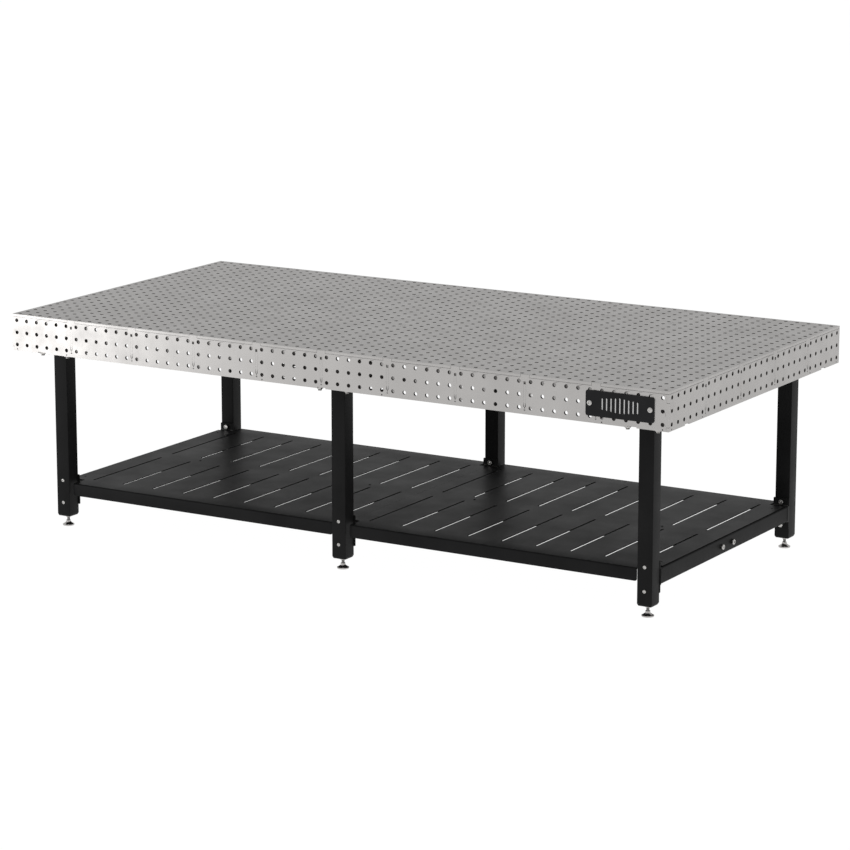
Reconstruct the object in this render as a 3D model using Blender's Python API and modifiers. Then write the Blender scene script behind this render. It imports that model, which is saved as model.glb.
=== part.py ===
"""Welding and fixturing table: a ribbed box top on six bolted legs, with a slotted lower shelf.

Metres, +Z up, the floor at z = 0 and the plan centre at the origin. +X runs along the table.
"""

import math

import bmesh
import bpy

# Overall size
LENGTH = 3.048
WIDTH = 1.524
HEIGHT = 0.9144
GAP = 0.0003

# Plates of the box top
PLATE = 0.009525
SLOT = PLATE + 2 * GAP
BOX_DEPTH = 0.1524
PITCH = 0.3048
TAB = 0.0381
RIB_BOTTOM = 0.141
END_TAB_TOP = 0.0365
END_TAB_BOTTOM = 0.124
RELIEF = 0.011
FINGER_TOP = 0.043
FINGER_BOTTOM = 0.137
WINDOW_LENGTH = 0.214
WINDOW_TOP = 0.0445
WINDOW_BOTTOM = 0.1195
NOTCH_LENGTH = 0.038
NOTCH_DEPTH = 0.005

# Leg mounting plates
MOUNT_TOP = 0.1413
MOUNT_REACH = 0.146
MID_MOUNT_REACH = 0.2921
MOUNT_WINDOW = (0.140, 0.240, 0.526, 0.706)
FLANGE_BOLT = 0.0635
BOLT_HOLE = 0.0087

# Legs and feet
LEG_X = (-1.3716, 0.0, 1.3716)
LEG_Y = (-0.6096, 0.6096)
TUBE = 0.0635
LEG_CORNER = 0.0023
BEAM_CORNER = 0.0045
LEG_WALL = 0.00476
LEG_BOTTOM = 0.0438
LEG_CHAMFER = (0.005, 0.009)
FOOT_PLATE = 0.0127
FLANGE = 0.1524
FLANGE_TOP = 0.1511
STEM = 0.00635
STEM_TOP = 0.085
PAD = 0.0245
PAD_TOP = 0.022
POCKET_FLOOR = 0.008

# Shelf frame and shelf
BEAM_Z = 0.1514
BEAM_WALL = 0.0032
BRACKET = 0.0048
BRACKET_LONG = 0.127
BRACKET_SHORT = 0.073
BRACKET_FLAT = 0.062
BEAM_BOLT_Y = 0.047625
VENT = 0.006
SHEET = 0.003
SHEET_TOP = 0.187
SHELF_X = 1.3985
SHELF_Y = 0.6245
APRON = 0.0517
CLEAR = 0.001
NOTCH_HALF = 0.042
NOTCH_SHOULDER = 0.545
SHELF_SLOT = 0.0092
SLOT_PITCH = 0.1524
SLOT_REACH = (0.039, 0.530)

# Nameplate
NAME_X = 1.3208
NAME_Z = HEIGHT - 0.0762
NAME_SIZE = (0.2875, 0.0984, 0.003)
NAME_CORNER = 0.012
NAME_SCREWS = (1.1938, 1.4478)
FIXTURE_HOLE = 0.0079375

CROSS_X = [-LENGTH / 2 + PITCH * (k + 1) for k in range(9)]
LONG_Y = [-WIDTH / 2 + PITCH * (j + 1) for j in range(4)]
RIB_TOP = HEIGHT - PLATE - GAP
RIB_LOW = HEIGHT - RIB_BOTTOM
RIB_MID = (RIB_TOP + RIB_LOW) / 2
SIDE_NAMES = {-1: "front", 1: "back"}
END_NAMES = {-1: "left", 0: "mid", 1: "right"}

STEEL = ((0.44, 0.43, 0.42), 0.45, 0.85)
POWDER = ((0.018, 0.018, 0.019), 0.42, 0.0)
SHELF_COAT = ((0.030, 0.030, 0.031), 0.45, 0.0)
ZINC = ((0.55, 0.55, 0.54), 0.28, 1.0)
PLAQUE = ((0.035, 0.035, 0.036), 0.40, 0.0)


def start_scene():
    for obj in list(bpy.data.objects):
        bpy.data.objects.remove(obj, do_unlink=True)
    parts = bpy.data.collections.new("welding_table")
    cutters = bpy.data.collections.new("cutters")
    cutters.hide_render = True
    bpy.context.scene.collection.children.link(parts)
    bpy.context.scene.collection.children.link(cutters)
    return parts, cutters


PARTS, CUTTERS = start_scene()


def material(name, look):
    colour, roughness, metallic = look
    made = bpy.data.materials.new(name)
    made.use_nodes = True
    shader = made.node_tree.nodes["Principled BSDF"]
    shader.inputs["Base Color"].default_value = (*colour, 1)
    shader.inputs["Roughness"].default_value = roughness
    shader.inputs["Metallic"].default_value = metallic
    return made


def finish(obj, name, look, collection=None):
    """Names the object, gives it a material of its own and files it."""
    obj.name = name
    obj.data.name = name
    if look is not None:
        obj.data.materials.clear()
        obj.data.materials.append(material(name, look))
    (collection or PARTS).objects.link(obj)
    return obj


def mesh_object(mesh):
    return bpy.data.objects.new("piece", mesh)


def clean(mesh):
    edit = bmesh.new()
    edit.from_mesh(mesh)
    bmesh.ops.remove_doubles(edit, verts=edit.verts, dist=1e-6)
    bmesh.ops.recalc_face_normals(edit, faces=edit.faces)
    edit.to_mesh(mesh)
    edit.free()
    return mesh


def flat_mesh(outline, holes, thickness, plane, offset):
    """A plate from an outline and its holes. plane names the two axes that the outline lies in."""
    curve = bpy.data.curves.new("outline", "CURVE")
    curve.dimensions = "2D"
    curve.fill_mode = "BOTH"
    curve.extrude = thickness / 2
    for points in [outline, *holes]:
        spline = curve.splines.new("POLY")
        spline.points.add(len(points) - 1)
        for point, (u, v) in zip(spline.points, points):
            point.co = (u, v, 0, 1)
        spline.use_cyclic_u = True
    drawn = bpy.data.objects.new("outline", curve)
    bpy.context.scene.collection.objects.link(drawn)
    bpy.context.view_layer.update()
    mesh = bpy.data.meshes.new_from_object(drawn)
    bpy.data.objects.remove(drawn, do_unlink=True)
    bpy.data.curves.remove(curve)
    place = {
        "XY": lambda p: (p[0], p[1], offset + p[2]),
        "XZ": lambda p: (p[0], offset - p[2], p[1]),
        "YZ": lambda p: (offset + p[2], p[0], p[1]),
    }[plane]
    for vertex in mesh.vertices:
        vertex.co = place(tuple(vertex.co))
    return clean(mesh)


def rectangle(u0, u1, v0, v1):
    return [(u0, v0), (u1, v0), (u1, v1), (u0, v1)]


def circle(u, v, radius, count):
    turn = 2 * math.pi / count
    return [
        (u + radius * math.cos(turn * i), v + radius * math.sin(turn * i))
        for i in range(count)
    ]


def rounded(half_u, half_v, radius, steps, centre=(0, 0)):
    """A rectangle with round corners, drawn from its first corner anticlockwise."""
    points = []
    for quarter in range(4):
        side_u = 1 if quarter in (0, 3) else -1
        side_v = 1 if quarter in (0, 1) else -1
        for i in range(steps + 1):
            angle = math.pi / 2 * (quarter + i / steps)
            points.append(
                (
                    centre[0] + side_u * (half_u - radius) + radius * math.cos(angle),
                    centre[1] + side_v * (half_v - radius) + radius * math.sin(angle),
                )
            )
    return points


def rib_windows(cells, start):
    windows = []
    for cell in cells:
        middle = start + PITCH * (cell + 0.5)
        tall = (WINDOW_BOTTOM - WINDOW_TOP) / 2
        centre = (middle, HEIGHT - (WINDOW_BOTTOM + WINDOW_TOP) / 2)
        windows.append(rounded(WINDOW_LENGTH / 2, tall, tall - 0.0001, 2, centre))
    return windows


def rib_end(side, reach):
    """The end tab that passes through the side plate, listed upwards on the right end."""
    inner = reach - PLATE - GAP
    low = HEIGHT - END_TAB_BOTTOM
    high = HEIGHT - END_TAB_TOP
    points = [
        (side * inner, RIB_LOW),
        (side * inner, low),
        (side * reach, low),
        (side * reach, high),
        (side * inner, high),
        (side * inner, RIB_TOP),
    ]
    return points if side > 0 else points[::-1]


def cross_rib_outline():
    """Half-lap slots open at the bottom, and a tab through the top plate above each."""
    bottom = []
    top = []
    for y in LONG_Y:
        bottom += [(y - SLOT / 2, RIB_LOW), (y - SLOT / 2, RIB_MID + GAP)]
        bottom += [(y + SLOT / 2, RIB_MID + GAP), (y + SLOT / 2, RIB_LOW)]
        top += [(y - TAB / 2, RIB_TOP), (y - TAB / 2, HEIGHT)]
        top += [(y + TAB / 2, HEIGHT), (y + TAB / 2, RIB_TOP)]
    return bottom + rib_end(1, WIDTH / 2) + top[::-1] + rib_end(-1, WIDTH / 2)


def long_rib_outline():
    """Half-lap slots open at the top."""
    top = []
    for x in CROSS_X:
        top += [(x - SLOT / 2, RIB_TOP), (x - SLOT / 2, RIB_MID)]
        top += [(x + SLOT / 2, RIB_MID), (x + SLOT / 2, RIB_TOP)]
    return rib_end(1, LENGTH / 2) + top[::-1] + rib_end(-1, LENGTH / 2)


def make_top_plate():
    half_x = LENGTH / 2
    half_y = WIDTH / 2
    deep = PLATE + GAP
    wide = TAB / 2 + GAP
    front = []
    right = []
    for x in CROSS_X:
        front += [(x - wide, -half_y), (x - wide, deep - half_y)]
        front += [(x + wide, deep - half_y), (x + wide, -half_y)]
    for y in LONG_Y:
        right += [(half_x, y - wide), (half_x - deep, y - wide)]
        right += [(half_x - deep, y + wide), (half_x, y + wide)]
    back = [(-u, -v) for u, v in front]
    left = [(-u, -v) for u, v in right]
    outline = [(-half_x, -half_y), *front, (half_x, -half_y), *right]
    outline += [(half_x, half_y), *back, (-half_x, half_y), *left]
    slots = [
        rectangle(x - SLOT / 2, x + SLOT / 2, y - wide, y + wide)
        for x in CROSS_X
        for y in LONG_Y
    ]
    mesh = flat_mesh(outline, slots, PLATE, "XY", HEIGHT - PLATE / 2)
    finish(mesh_object(mesh), "top_plate", STEEL)


def side_outline(reach, tabs, notches, finger):
    """A side of the box. finger is True where its ends reach the corner at mid height."""
    inner = reach - PLATE - GAP
    low = HEIGHT - BOX_DEPTH
    shrink = GAP if finger else 0
    finger_low = HEIGHT - FINGER_BOTTOM + shrink
    finger_high = HEIGHT - FINGER_TOP - shrink
    outer = reach if finger else inner
    other = inner if finger else reach
    right = [(other, low), (other, finger_low), (outer, finger_low)]
    right += [(outer, finger_high), (other, finger_high), (other, RIB_TOP)]
    bottom = []
    for u in notches:
        half = NOTCH_LENGTH / 2
        bottom += [(u - half, low), (u - half, low + NOTCH_DEPTH)]
        bottom += [(u + half, low + NOTCH_DEPTH), (u + half, low)]
    top = []
    for u in tabs:
        top += [(u - TAB / 2, RIB_TOP), (u - TAB / 2, HEIGHT)]
        top += [(u + TAB / 2, HEIGHT), (u + TAB / 2, RIB_TOP)]
    left = [(-u, v) for u, v in right]
    return bottom + right + top[::-1] + left[::-1]


def rib_slots(places):
    low = HEIGHT - END_TAB_BOTTOM - RELIEF
    high = HEIGHT - END_TAB_TOP + RELIEF
    return [rectangle(u - SLOT / 2, u + SLOT / 2, low, high) for u in places]


def make_sides():
    for side, word in SIDE_NAMES.items():
        outline = side_outline(LENGTH / 2, CROSS_X, LEG_X, True)
        holes = rib_slots(CROSS_X)
        if side < 0:
            holes += [circle(x, NAME_Z, FIXTURE_HOLE, 16) for x in NAME_SCREWS]
        offset = side * (WIDTH - PLATE) / 2
        mesh = flat_mesh(outline, holes, PLATE, "XZ", offset)
        finish(mesh_object(mesh), "side_plate_" + word, STEEL)
    for side in (-1, 1):
        outline = side_outline(WIDTH / 2, LONG_Y, LEG_Y, False)
        offset = side * (LENGTH - PLATE) / 2
        mesh = flat_mesh(outline, rib_slots(LONG_Y), PLATE, "YZ", offset)
        finish(mesh_object(mesh), "end_plate_" + END_NAMES[side], STEEL)


def make_ribs():
    for number, x in enumerate(CROSS_X, 1):
        windows = rib_windows(range(5), -WIDTH / 2)
        mesh = flat_mesh(cross_rib_outline(), windows, PLATE, "YZ", x)
        finish(mesh_object(mesh), f"cross_rib_{number}", STEEL)
    for number, y in enumerate(LONG_Y, 1):
        windows = rib_windows((0, 4, 5, 9), -LENGTH / 2)
        mesh = flat_mesh(long_rib_outline(), windows, PLATE, "XZ", y)
        finish(mesh_object(mesh), f"long_rib_{number}", STEEL)


def flange_holes(x, y):
    return [
        circle(x + i * FLANGE_BOLT, y + j * FLANGE_BOLT, BOLT_HOLE, 8)
        for i in (-1, 1)
        for j in (-1, 1)
    ]


def make_mount_plates():
    """The plates under the ribs that the legs bolt up to."""
    wall_x = LENGTH / 2 - PLATE - GAP
    wall_y = WIDTH / 2 - PLATE - GAP
    for end, x in zip((-1, 0, 1), LEG_X):
        for side, y in zip((-1, 1), LEG_Y):
            reach = MOUNT_REACH if end else MID_MOUNT_REACH
            u0 = max(x - reach, -wall_x)
            u1 = min(x + reach, wall_x)
            v0 = max(y - MOUNT_REACH, -wall_y)
            v1 = min(y + MOUNT_REACH, wall_y)
            holes = flange_holes(x, y)
            if not end:
                near, far, inner, outer = MOUNT_WINDOW
                low, high = sorted((side * inner, side * outer))
                holes.append(rectangle(near, far, low, high))
                holes.append(rectangle(-far, -near, low, high))
            middle = HEIGHT - MOUNT_TOP - PLATE / 2
            outline = rectangle(u0, u1, v0, v1)
            mesh = flat_mesh(outline, holes, PLATE, "XY", middle)
            name = f"mount_plate_{SIDE_NAMES[side]}_{END_NAMES[end]}"
            finish(mesh_object(mesh), name, STEEL)


def ring_mesh(rings):
    """A closed band through rings of equal point counts, the last ring joined to the first."""
    mesh = bpy.data.meshes.new("rings")
    count = len(rings[0])
    points = [point for ring in rings for point in ring]
    faces = []
    for k in range(len(rings)):
        near = k * count
        far = (k + 1) % len(rings) * count
        for i in range(count):
            j = (i + 1) % count
            faces.append((near + i, near + j, far + j, far + i))
    mesh.from_pydata(points, [], faces)
    return clean(mesh)


def at_height(outline, z):
    return [(u, v, z) for u, v in outline]


def hole_ring(radius, steps):
    """A round hole's edge, its points in step with those of rounded()."""
    points = []
    for quarter in range(4):
        for i in range(steps + 1):
            part = (quarter * (steps + 1) + i + 0.5) / (4 * (steps + 1))
            angle = 2 * math.pi * part
            points.append((radius * math.cos(angle), radius * math.sin(angle)))
    return points


def tube_outline(shrink, radius):
    corner = max(radius - shrink, 0.0012)
    return rounded(TUBE / 2 - shrink, TUBE / 2 - shrink, corner, 2)


def leg_mesh():
    """The tube with its threaded plate at the foot, then the flange at its head."""
    inset, tall = LEG_CHAMFER
    flange_low = HEIGHT - FLANGE_TOP - PLATE
    head = flange_low + PLATE / 2
    floor = LEG_BOTTOM + FOOT_PLATE
    hole = hole_ring(STEM + 2 * GAP, 2)
    rings = [
        at_height(tube_outline(inset, LEG_CORNER), LEG_BOTTOM),
        at_height(tube_outline(0, LEG_CORNER), LEG_BOTTOM + tall),
        at_height(tube_outline(0, LEG_CORNER), head),
        at_height(tube_outline(LEG_WALL, LEG_CORNER), head),
        at_height(tube_outline(LEG_WALL, LEG_CORNER), floor),
        at_height(hole, floor),
        at_height(hole, LEG_BOTTOM),
    ]
    half = FLANGE / 2
    outline = rectangle(-half, half, -half, half)
    flange = flat_mesh(outline, flange_holes(0, 0), PLATE, "XY", head)
    return joined(ring_mesh(rings), [flange], "UNION")


def joined(mesh, others, operation):
    """The mesh after an exact Boolean with each of the others."""
    base = mesh_object(mesh)
    CUTTERS.objects.link(base)
    tools = []
    for other in others:
        tool = mesh_object(other)
        tool.display_type = "WIRE"
        tool.hide_render = True
        CUTTERS.objects.link(tool)
        change = base.modifiers.new("join", "BOOLEAN")
        change.operation = operation
        change.solver = "EXACT"
        change.object = tool
        tools.append(tool)
    bpy.context.view_layer.update()
    graph = bpy.context.evaluated_depsgraph_get()
    result = bpy.data.meshes.new_from_object(base.evaluated_get(graph))
    for obj in [base, *tools]:
        bpy.data.objects.remove(obj, do_unlink=True)
    return clean(result)


def moved_copy(mesh, x, y, z=0.0):
    copy = mesh.copy()
    for vertex in copy.vertices:
        vertex.co = (vertex.co.x + x, vertex.co.y + y, vertex.co.z + z)
    return copy


def turned(profile, steps, axis, name, look, place):
    """A round piece from its profile, as (radius, distance along the axis), top to bottom."""
    mesh = bpy.data.meshes.new(name)
    points = [(radius, 0, along) for radius, along in profile]
    edges = [(i, i + 1) for i in range(len(points) - 1)]
    mesh.from_pydata(points, edges, [])
    obj = finish(mesh_object(mesh), name, look)
    spin = obj.modifiers.new("turn", "SCREW")
    spin.steps = steps
    spin.render_steps = steps
    spin.use_merge_vertices = True
    spin.merge_threshold = 1e-5
    obj.location = place
    if axis == "X":
        obj.rotation_euler = (0, math.pi / 2, 0)
    if axis == "Y":
        obj.rotation_euler = (math.pi / 2, 0, 0)
    return obj


def make_legs_and_feet():
    leg = leg_mesh()
    pad_profile = [
        (0, POCKET_FLOOR),
        (STEM + 2 * GAP, POCKET_FLOOR),
        (STEM + 2 * GAP, PAD_TOP),
        (0.009, PAD_TOP),
        (0.010, 0.014),
        (0.0215, 0.0055),
        (PAD, 0.0045),
        (PAD, 0),
        (0, 0),
    ]
    stem_low = POCKET_FLOOR + GAP
    stem_profile = [
        (0, STEM_TOP),
        (STEM - 0.001, STEM_TOP),
        (STEM, STEM_TOP - 0.001),
        (STEM, stem_low),
        (0, stem_low),
    ]
    for end, x in zip((-1, 0, 1), LEG_X):
        for side, y in zip((-1, 1), LEG_Y):
            where = f"{SIDE_NAMES[side]}_{END_NAMES[end]}"
            finish(mesh_object(moved_copy(leg, x, y)), "leg_" + where, POWDER)
            turned(pad_profile, 14, "Z", "foot_pad_" + where, ZINC, (x, y, 0))
            turned(stem_profile, 12, "Z", "foot_stem_" + where, ZINC, (x, y, 0))


def along_y(outline, y):
    return [(u, y, BEAM_Z + v) for u, v in outline]


def along_x(outline, x):
    return [(x, u, BEAM_Z + v) for u, v in outline]


def tube_between(start, end, spread):
    """An open square tube. spread turns its outline into points at one end."""
    return ring_mesh(
        [
            spread(tube_outline(0, BEAM_CORNER), start),
            spread(tube_outline(0, BEAM_CORNER), end),
            spread(tube_outline(BEAM_WALL, BEAM_CORNER), end),
            spread(tube_outline(BEAM_WALL, BEAM_CORNER), start),
        ]
    )


def make_cross_beams():
    leg_face = LEG_Y[1] - TUBE / 2 - GAP
    inner = leg_face - BRACKET
    for end, x in zip((-1, 0, 1), LEG_X):
        middle = leg_face - BRACKET / 2
        body = moved_copy(tube_between(-middle, middle, along_y), x, 0)
        half_u = BRACKET_SHORT / 2
        half_v = BRACKET_LONG / 2
        outline = rectangle(x - half_u, x + half_u, BEAM_Z - half_v, BEAM_Z + half_v)
        ends = []
        for side in (-1, 1):
            offset = side * (inner + BRACKET / 2)
            ends.append(flat_mesh(outline, [], BRACKET, "XZ", offset))
        body = joined(body, ends, "UNION")
        drills = [
            flat_mesh(circle(y, BEAM_Z, STEM + 2 * GAP, 10), [], 0.1, "YZ", x)
            for y in (-BEAM_BOLT_Y, BEAM_BOLT_Y)
        ]
        body = joined(body, drills, "DIFFERENCE")
        finish(mesh_object(body), "cross_beam_" + END_NAMES[end], POWDER)


def make_long_beams():
    for side in (-1, 1):
        near = TUBE / 2 + GAP
        far = LEG_X[2] - TUBE / 2 - GAP
        start = near + BRACKET / 2
        stop = far - BRACKET / 2
        body = tube_between(side * start, side * stop, along_x)
        half_u = BRACKET_LONG / 2
        half_v = BRACKET_FLAT / 2
        outline = rectangle(-half_u, half_u, BEAM_Z - half_v, BEAM_Z + half_v)
        holes = [
            circle(y, BEAM_Z, STEM + 2 * GAP, 10) for y in (-BEAM_BOLT_Y, BEAM_BOLT_Y)
        ]
        holes.append(circle(0, BEAM_Z, VENT, 6))
        ends = [
            flat_mesh(outline, holes, BRACKET, "YZ", side * start),
            flat_mesh(outline, holes, BRACKET, "YZ", side * stop),
        ]
        body = joined(body, ends, "UNION")
        finish(mesh_object(body), "long_beam_" + END_NAMES[side], POWDER)


def bolt_profile(grip, head_radius, head, nut_radius, nut):
    """A bolt with its nut run up. The grip starts at 0 and runs down the axis."""
    return [
        (0, head),
        (head_radius * 0.62, head),
        (head_radius, head * 0.35),
        (head_radius, GAP),
        (STEM, GAP),
        (STEM, -grip - GAP),
        (nut_radius, -grip - GAP),
        (nut_radius, -grip - nut),
        (0, -grip - nut),
    ]


def make_beam_bolts():
    """The bolts that hold the long beams to the cross beams, the end ones with their nuts outside."""
    inner = LEG_X[2] - TUBE / 2 - GAP - BRACKET
    end_grip = TUBE + GAP + BRACKET
    mid_grip = TUBE + 2 * (GAP + BRACKET)
    mid_face = TUBE / 2 + GAP + BRACKET
    number = 0
    for x, grip, turn in ((-inner, end_grip, 1), (mid_face, mid_grip, 1), (inner, end_grip, -1)):
        for y in (-BEAM_BOLT_Y, BEAM_BOLT_Y):
            number += 1
            profile = bolt_profile(grip, 0.0105, 0.006, 0.0098, 0.010)
            name = f"beam_bolt_{number}"
            bolt = turned(profile, 10, "X", name, ZINC, (x, y, BEAM_Z))
            if turn < 0:
                bolt.rotation_euler = (0, -math.pi / 2, 0)


def shelf_section():
    """Across the shelf: a flat sheet with its front and back edges folded down."""
    low = SHEET_TOP - APRON
    under = SHEET_TOP - SHEET
    inner = SHELF_Y - SHEET
    half = [(SHELF_Y, SHEET_TOP), (SHELF_Y, low), (inner, low), (inner, under)]
    return half + [(-v, z) for v, z in reversed(half)]


def shelf_notches(side):
    """The corners cut away round the legs and the brackets."""
    notches = []
    for middle in (0, LEG_X[2]):
        near, far = middle - NOTCH_HALF, middle + NOTCH_HALF
        for end in (-1, 1):
            u0, u1 = sorted((side * near, side * far))
            v0, v1 = sorted((end * NOTCH_SHOULDER, end * (SHELF_Y + CLEAR)))
            notches.append(rectangle(u0, u1, v0, v1))
    return notches


def shelf_slots(side):
    slots = []
    half = SHELF_SLOT / 2
    for k in range(9):
        x = side * SLOT_PITCH * (k + 0.5)
        for end in (-1, 1):
            low, high = sorted((end * SLOT_REACH[0], end * SLOT_REACH[1]))
            slots.append(rectangle(x - half, x + half, low, high))
    return slots


def make_shelf():
    for side in (-1, 1):
        middle = side * (SHELF_X + GAP) / 2
        body = flat_mesh(shelf_section(), [], SHELF_X - GAP, "YZ", middle)
        cuts = [
            flat_mesh(outline, [], 3 * APRON, "XY", SHEET_TOP)
            for outline in shelf_notches(side) + shelf_slots(side)
        ]
        body = joined(body, cuts, "DIFFERENCE")
        finish(mesh_object(body), "shelf_" + END_NAMES[side], SHELF_COAT)


def make_nameplate():
    wide, tall, thick = NAME_SIZE
    outline = rounded(wide / 2, tall / 2, NAME_CORNER, 4, (NAME_X, NAME_Z))
    holes = [circle(x, NAME_Z, STEM + 2 * GAP, 10) for x in NAME_SCREWS]
    offset = -WIDTH / 2 - GAP - thick / 2
    mesh = flat_mesh(outline, holes, thick, "XZ", offset)
    finish(mesh_object(mesh), "nameplate", PLAQUE)
    grip = thick + GAP + PLATE
    face = -WIDTH / 2 - GAP - thick
    for x, word in zip(NAME_SCREWS, ("left", "right")):
        profile = bolt_profile(grip, 0.011, 0.005, 0.0095, 0.008)
        name = "nameplate_screw_" + word
        turned(profile, 10, "Y", name, ZINC, (x, face, NAME_Z))


make_top_plate()
make_sides()
make_ribs()
make_mount_plates()
make_legs_and_feet()
make_cross_beams()
make_long_beams()
make_beam_bolts()
make_shelf()
make_nameplate()
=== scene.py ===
"""Looks for the welding table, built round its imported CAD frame. Metres, +Z up, feet on z = 0."""

import math
import random

import bpy
from mathutils import Matrix, Vector, noise
from mathutils.geometry import tessellate_polygon


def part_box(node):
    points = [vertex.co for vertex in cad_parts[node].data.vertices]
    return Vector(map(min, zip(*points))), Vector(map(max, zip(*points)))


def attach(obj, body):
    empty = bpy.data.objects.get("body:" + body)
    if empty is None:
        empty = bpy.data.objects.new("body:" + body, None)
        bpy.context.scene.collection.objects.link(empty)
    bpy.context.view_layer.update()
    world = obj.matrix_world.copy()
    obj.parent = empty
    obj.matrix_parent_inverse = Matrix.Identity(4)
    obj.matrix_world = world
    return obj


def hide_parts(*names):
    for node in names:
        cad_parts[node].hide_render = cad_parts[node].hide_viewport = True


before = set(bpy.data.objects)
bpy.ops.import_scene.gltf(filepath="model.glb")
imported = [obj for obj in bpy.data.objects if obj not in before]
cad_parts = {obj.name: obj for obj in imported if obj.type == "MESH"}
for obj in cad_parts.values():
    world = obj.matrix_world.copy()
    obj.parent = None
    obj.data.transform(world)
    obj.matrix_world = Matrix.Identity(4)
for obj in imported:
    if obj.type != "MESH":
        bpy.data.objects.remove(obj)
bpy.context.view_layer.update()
ROOT = "table"

# Sizes read from the frame
TOP_LOW, TOP_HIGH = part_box("top_plate")
HEIGHT = TOP_HIGH.z
HALF_X = TOP_HIGH.x
HALF_Y = TOP_HIGH.y
PLATE = TOP_HIGH.z - TOP_LOW.z
BOX_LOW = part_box("side_plate_front")[0].z
RIB_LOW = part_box("cross_rib_1")[0].z
ENDS = {"left": -1, "mid": 0, "right": 1}
SIDES = {"front": -1, "back": 1}

# Fixture holes and the slots for ribs and tabs; depths are measured down from the top
CELL = 0.0508  # from hole to hole
HOLE = 0.0079375  # radius
HOLE_STEPS = 24
PITCH = 0.3048  # from rib to rib
TAB = 0.0381  # width
FIT = 0.0003  # clearance where two parts meet
TOP_GAP = 0.0009  # clearance round the tabs in the top
SEAM = 0.0011  # the seam under the top and beside the corner fingers
RIB_SLOT = PLATE / 2 + FIT  # half width
RIB_SLOT_TOP = 0.0255
RIB_SLOT_BOTTOM = 0.135
FINGER_TOP = 0.043
FINGER_BOTTOM = 0.137
BAND = 0.139  # where the plain strip along the bottom edge starts
MARK_TOP = 0.1435  # small slots over the ends of the mounting plates' tabs
MARK_BOTTOM = 0.1485
MARK_HALF = 0.0025
NOTCH_HALF = 0.019  # notches in the bottom edge over the legs
NOTCH_DEPTH = 0.005
DEPTH = HEIGHT - BOX_LOW
MOUNT_TAB = 0.127  # from a leg's middle to its small slots
MID_MOUNT_TAB = 0.2794

# Legs, lower frame and shelf
LEG_X = 1.3716
LEG_Y = 0.6096
TUBE = 0.0635
LEG_CORNER = 0.0023
BEAM_CORNER = 0.0045
LEG_WALL = 0.00476
FOOT_PLATE = 0.0127
FOOT_HOLE = 0.0067
BEAM_Z = 0.1514
BEAM_WALL = 0.0032
LEG_BOLT = 0.047625
BOLT_THREAD = 0.0060
NUT_HEX = 0.0190
BRACKET = 0.0048
BRACKET_HALF = (0.0365, 0.0635)
LONG_BRACKET_HALF = 0.0310
BRACKET_CORNER = 0.003
BRACKET_HOLE = 0.0066
OUTER_TRIM = 0.00165  # half of what an end beam's bracket loses on its outer side
FLANGE_HALF = 0.0762
FLANGE_BOLT = 0.0635
FLANGE_HEX = 0.0238
FLANGE_THREAD = 0.0079
FLANGE_HOLE = 0.0087
SHEET = 0.003
BEND = 0.0075
SLOT_HALF = 0.0046
SLOT_REACH = (0.039, 0.530)  # both ends of a shelf slot, from the middle line
NOTCH_CLEAR = 0.042  # the shelf's notches round the legs
NOTCH_SHOULDER = 0.545
STEM = 0.00635
THREAD_PITCH = 0.0254 / 13
THREAD_DEPTH = 0.465  # of the pitch

CROSS_X = [-HALF_X + PITCH * (k + 1) for k in range(9)]
LONG_Y = [-HALF_Y + PITCH * (j + 1) for j in range(4)]


# ---------------------------------------------------------------- materials


def node_material(name):
    made = bpy.data.materials.new(name)
    made.use_nodes = True
    return made, made.node_tree.nodes, made.node_tree.links


def add_noise(nodes, links, vector, scale, detail=4.0, roughness=0.55):
    tex = nodes.new("ShaderNodeTexNoise")
    tex.inputs["Scale"].default_value = scale
    tex.inputs["Detail"].default_value = detail
    tex.inputs["Roughness"].default_value = roughness
    links.new(vector, tex.inputs["Vector"])
    return tex.outputs["Fac"]


def add_range(nodes, links, value, low, high, out_low, out_high):
    node = nodes.new("ShaderNodeMapRange")
    node.inputs["From Min"].default_value = low
    node.inputs["From Max"].default_value = high
    node.inputs["To Min"].default_value = out_low
    node.inputs["To Max"].default_value = out_high
    links.new(value, node.inputs["Value"])
    return node.outputs["Result"]


def add_ramp(nodes, links, value, stops):
    node = nodes.new("ShaderNodeValToRGB")
    ramp = node.color_ramp
    while len(ramp.elements) < len(stops):
        ramp.elements.new(0.5)
    for element, (place, colour) in zip(ramp.elements, stops):
        element.position = place
        element.color = (*colour, 1)
    links.new(value, node.inputs["Fac"])
    return node.outputs["Color"]


def add_math(nodes, links, kind, first, second):
    node = nodes.new("ShaderNodeMath")
    node.operation = kind
    for socket, value in zip(node.inputs, (first, second)):
        if isinstance(value, (int, float)):
            socket.default_value = value
        else:
            links.new(value, socket)
    return node.outputs["Value"]


def stretched(nodes, links, source, scale):
    node = nodes.new("ShaderNodeMapping")
    node.inputs["Scale"].default_value = scale
    links.new(source, node.inputs["Vector"])
    return node.outputs["Vector"]


def add_bump(nodes, links, shader, height, strength, distance):
    bump = nodes.new("ShaderNodeBump")
    bump.inputs["Strength"].default_value = strength
    bump.inputs["Distance"].default_value = distance
    links.new(height, bump.inputs["Height"])
    links.new(bump.outputs["Normal"], shader.inputs["Normal"])


def tone_and_gloss(nodes, links, shader, tone, stops, smear, rough):
    """Colour from one pattern and roughness from another, or from the same one."""
    links.new(add_ramp(nodes, links, tone, stops), shader.inputs["Base Color"])
    links.new(add_range(nodes, links, smear, 0.3, 0.7, *rough), shader.inputs["Roughness"])


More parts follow.
